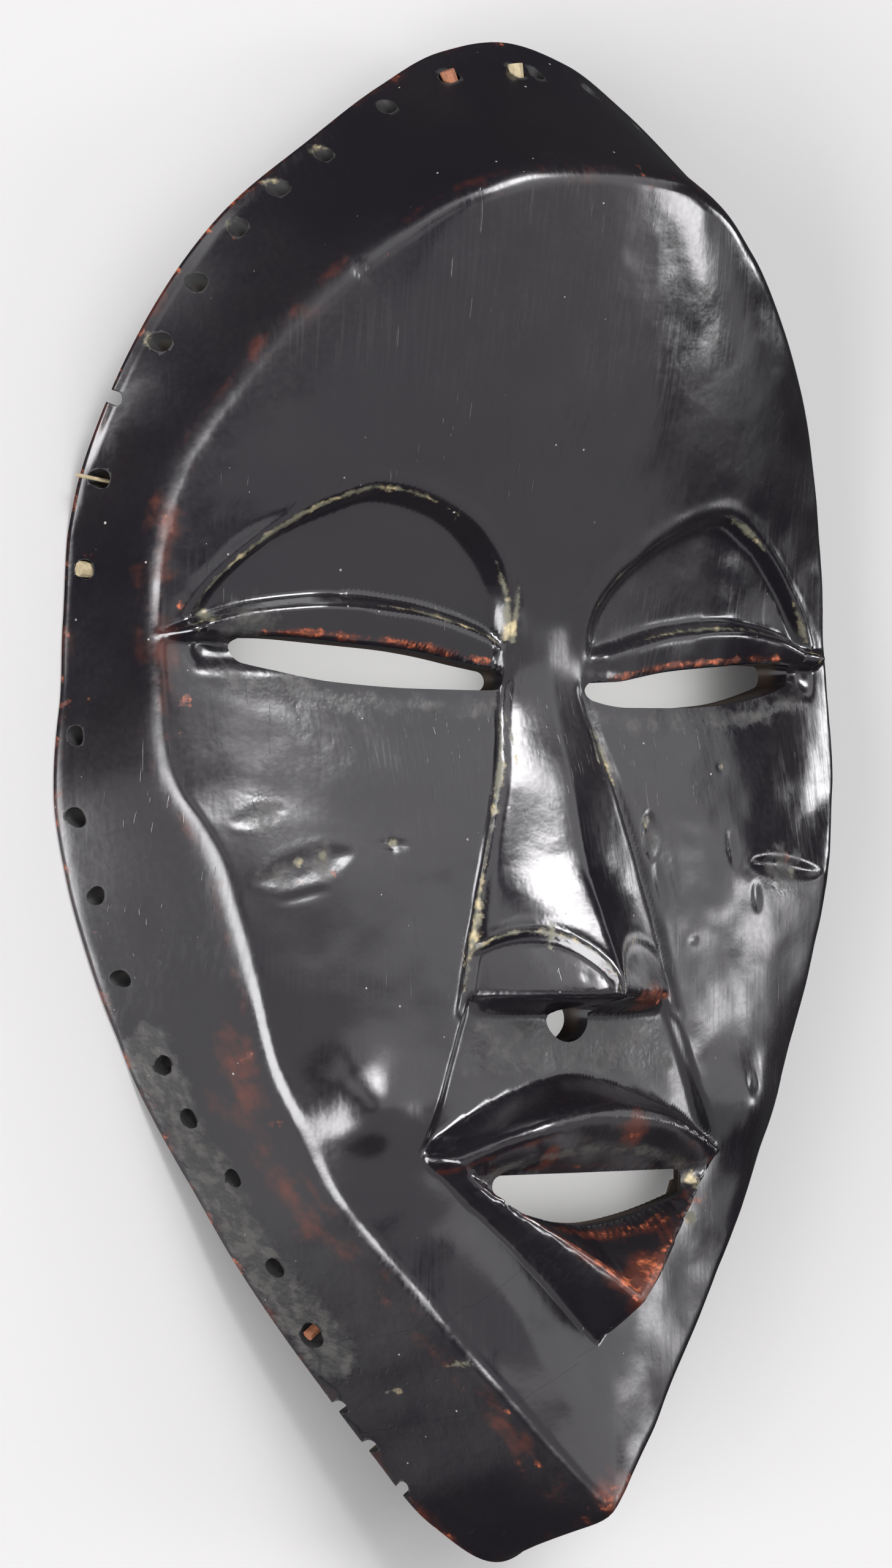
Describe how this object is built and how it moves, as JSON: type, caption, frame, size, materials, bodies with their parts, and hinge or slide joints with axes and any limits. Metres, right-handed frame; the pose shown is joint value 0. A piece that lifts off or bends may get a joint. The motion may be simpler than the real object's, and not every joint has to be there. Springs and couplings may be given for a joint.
{
  "type": "dan face mask",
  "caption": "Carved dark wood face mask, pointed oval, with narrow slit eyes, open lips, a pierced rim flange and a hollow back, lying face up on its rim.",
  "frame": {"origin": "centre of the mask's outline at the level of the flat back of its rim", "axes": "+Z out of the face, +Y to the top of the head, +X to the viewer's right"},
  "size_m": [0.146, 0.239, 0.053],
  "materials": {
    "patinated_wood": "polished dark patina",
    "reed": "dry reed",
    "pale_fibre": "dry plant fibre"
  },
  "bodies": {
    "root": {"wooden_mask": "patinated_wood", "reed_stub": "reed", "pale_sliver": "pale_fibre", "side_plug": "pale_fibre", "top_peg_left": "reed", "top_peg_right": "pale_fibre"}
  },
  "joints": []
}
